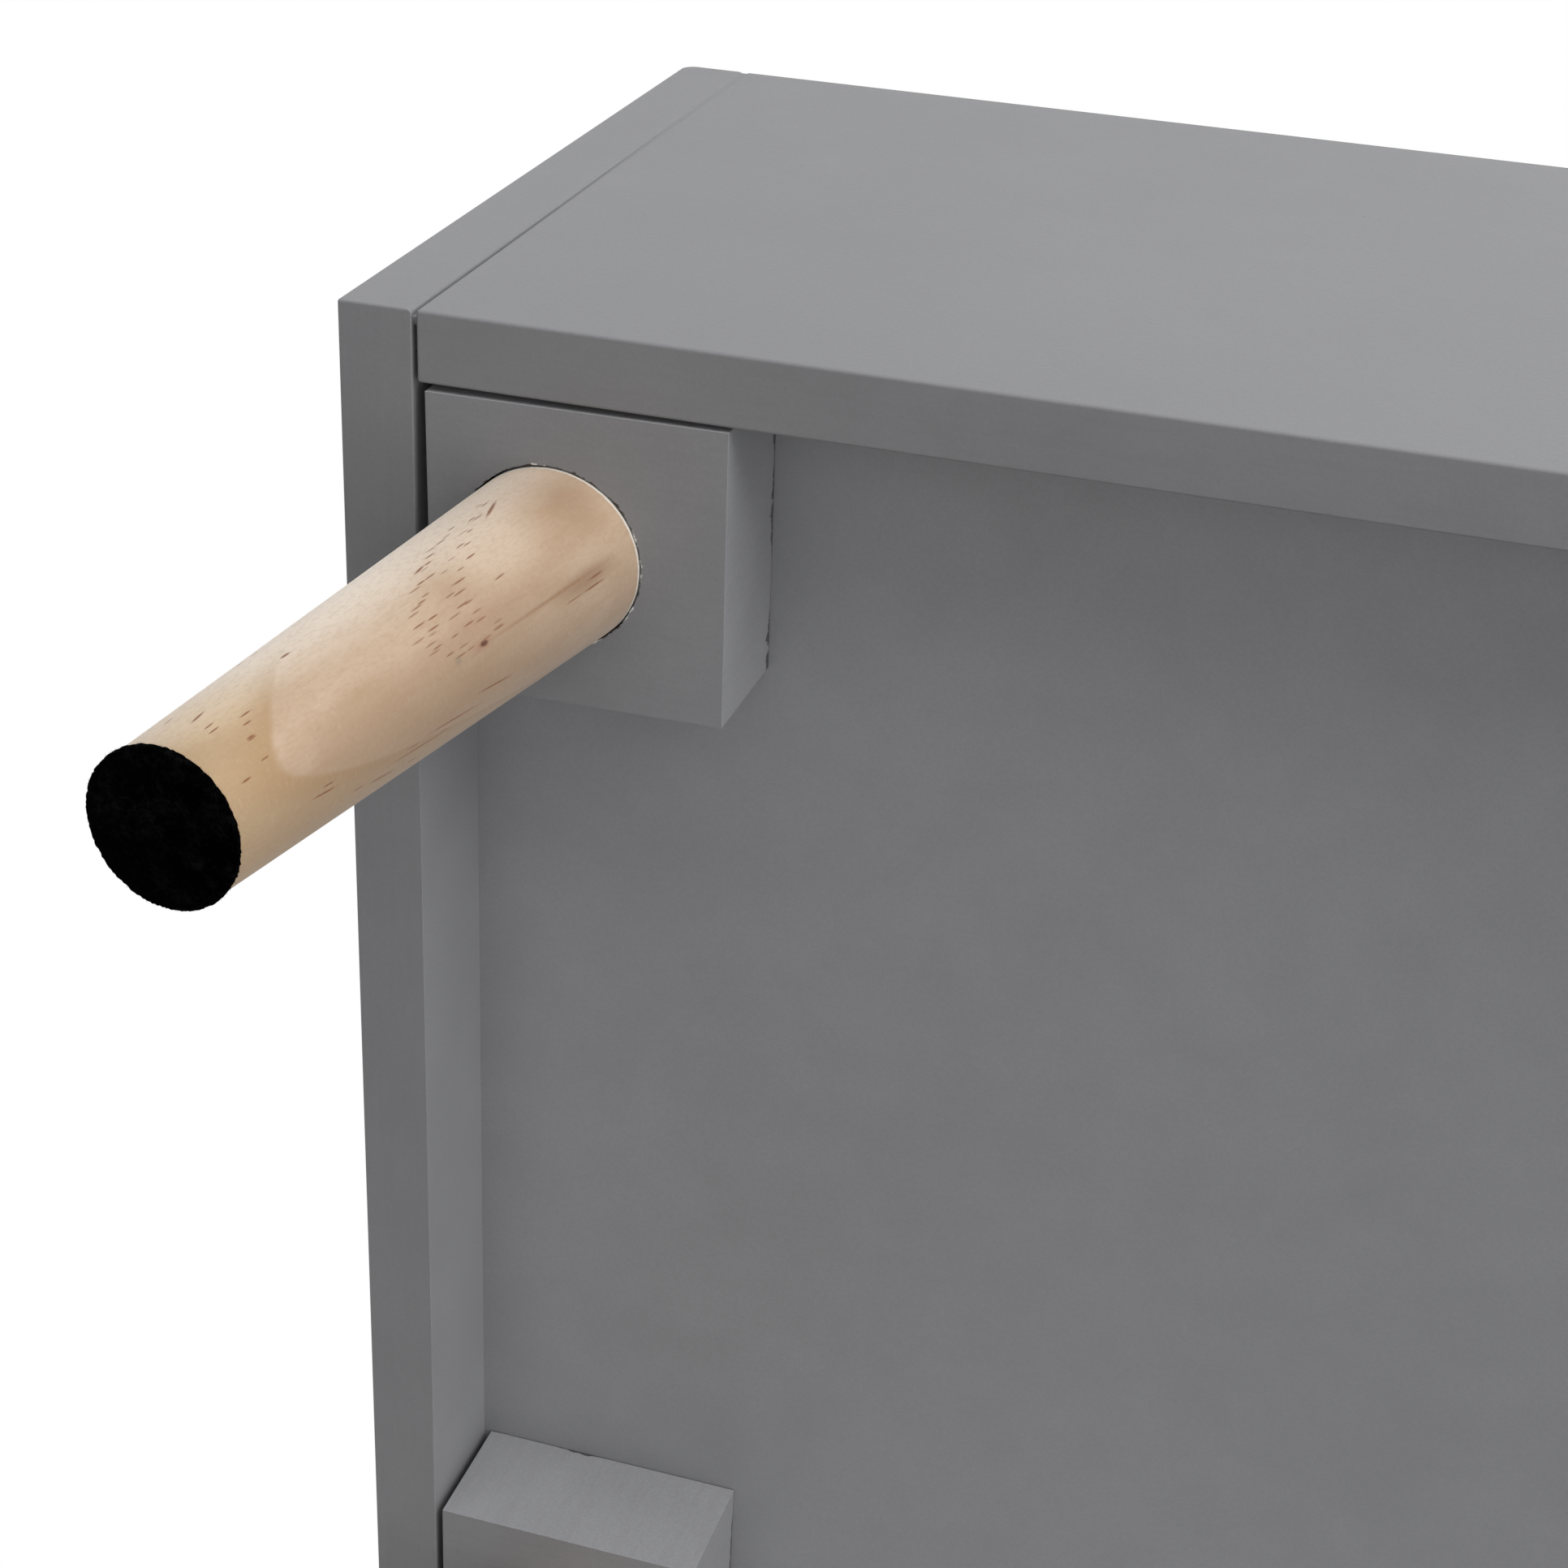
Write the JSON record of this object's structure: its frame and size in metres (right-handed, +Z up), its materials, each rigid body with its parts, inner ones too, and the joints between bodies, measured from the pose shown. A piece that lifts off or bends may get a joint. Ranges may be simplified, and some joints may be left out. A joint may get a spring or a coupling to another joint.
{
  "type": "toy chest",
  "caption": "Low rectangular painted-board toy chest with a hinged lid on slotted friction stays, hand holes, and splayed round wooden legs set in recessed corner blocks.",
  "frame": {"origin": "centre of the chest's footprint, on the floor under the felt pads", "axes": "+X along the length to the chest's right-hand end seen from the front, -Y towards the front, +Z up"},
  "size_m": [0.914, 0.471, 0.4344],
  "materials": {
    "grey_paint": "satin paint on board",
    "pine": "sanded, clear matte",
    "felt": "pressed felt",
    "beech": "raw",
    "zinc_steel": "zinc plated",
    "hinge_steel": "satin nickel plated",
    "bumper_rubber": "soft translucent"
  },
  "bodies": {
    "chest": {"front_panel": "grey_paint", "back_panel": "grey_paint", "left_end_panel": "grey_paint", "right_end_panel": "grey_paint", "bottom_board": "grey_paint", "front_left_leg_block": "grey_paint", "front_left_leg": "pine", "front_left_felt_pad": "felt", "front_left_leg_bolt": "zinc_steel", "front_left_leg_insert": "zinc_steel", "front_left_dowel_1": "beech", "front_left_dowel_2": "beech", "front_left_cam_bolt": "zinc_steel", "front_left_cam": "zinc_steel", "front_right_leg_block": "grey_paint", "front_right_leg": "pine", "front_right_felt_pad": "felt", "front_right_leg_bolt": "zinc_steel", "front_right_leg_insert": "zinc_steel", "front_right_dowel_1": "beech", "front_right_dowel_2": "beech", "front_right_cam_bolt": "zinc_steel", "front_right_cam": "zinc_steel", "back_left_leg_block": "grey_paint", "back_left_leg": "pine", "back_left_felt_pad": "felt", "back_left_leg_bolt": "zinc_steel", "back_left_leg_insert": "zinc_steel", "back_left_dowel_1": "beech", "back_left_dowel_2": "beech", "back_left_cam_bolt": "zinc_steel", "back_left_cam": "zinc_steel", "back_right_leg_block": "grey_paint", "back_right_leg": "pine", "back_right_felt_pad": "felt", "back_right_leg_bolt": "zinc_steel", "back_right_leg_insert": "zinc_steel", "back_right_dowel_1": "beech", "back_right_dowel_2": "beech", "back_right_cam_bolt": "zinc_steel", "back_right_cam": "zinc_steel", "left_hinge_back_leaf": "hinge_steel", "left_hinge_pin": "hinge_steel", "left_stay_stud_plate": "zinc_steel", "right_hinge_back_leaf": "hinge_steel", "right_hinge_pin": "hinge_steel", "right_stay_stud_plate": "zinc_steel"},
    "lid": {"lid": "grey_paint", "left_lid_bumper": "bumper_rubber", "right_lid_bumper": "bumper_rubber", "left_hinge_lid_leaf": "hinge_steel", "right_hinge_lid_leaf": "hinge_steel", "left_stay_lid_bracket": "zinc_steel", "right_stay_lid_bracket": "zinc_steel", "left_stay_pivot_rivet": "zinc_steel", "right_stay_pivot_rivet": "zinc_steel"},
    "left_stay_arm": {"left_stay_arm": "zinc_steel"},
    "right_stay_arm": {"right_stay_arm": "zinc_steel"}
  },
  "joints": [
    {"name": "lid_hinge", "type": "hinge", "parent": "chest", "child": "lid", "pos_m": [0, 0.2321, 0.4155], "axis": [-1, 0, 0], "range_deg": [0, 95]},
    {"name": "left_stay_pivot", "type": "hinge", "parent": "lid", "child": "left_stay_arm", "pos_m": [-0.4337, 0.13189, 0.40426], "axis": [-1, 0, 0], "range_deg": [-47.5, 0]},
    {"name": "right_stay_pivot", "type": "hinge", "parent": "lid", "child": "right_stay_arm", "pos_m": [0.4337, 0.13189, 0.40426], "axis": [-1, 0, 0], "range_deg": [-47.5, 0]}
  ],
  "couplings": [
    {"joint": "left_stay_pivot", "follows": "lid_hinge", "ratio": -0.5},
    {"joint": "right_stay_pivot", "follows": "lid_hinge", "ratio": -0.5}
  ]
}
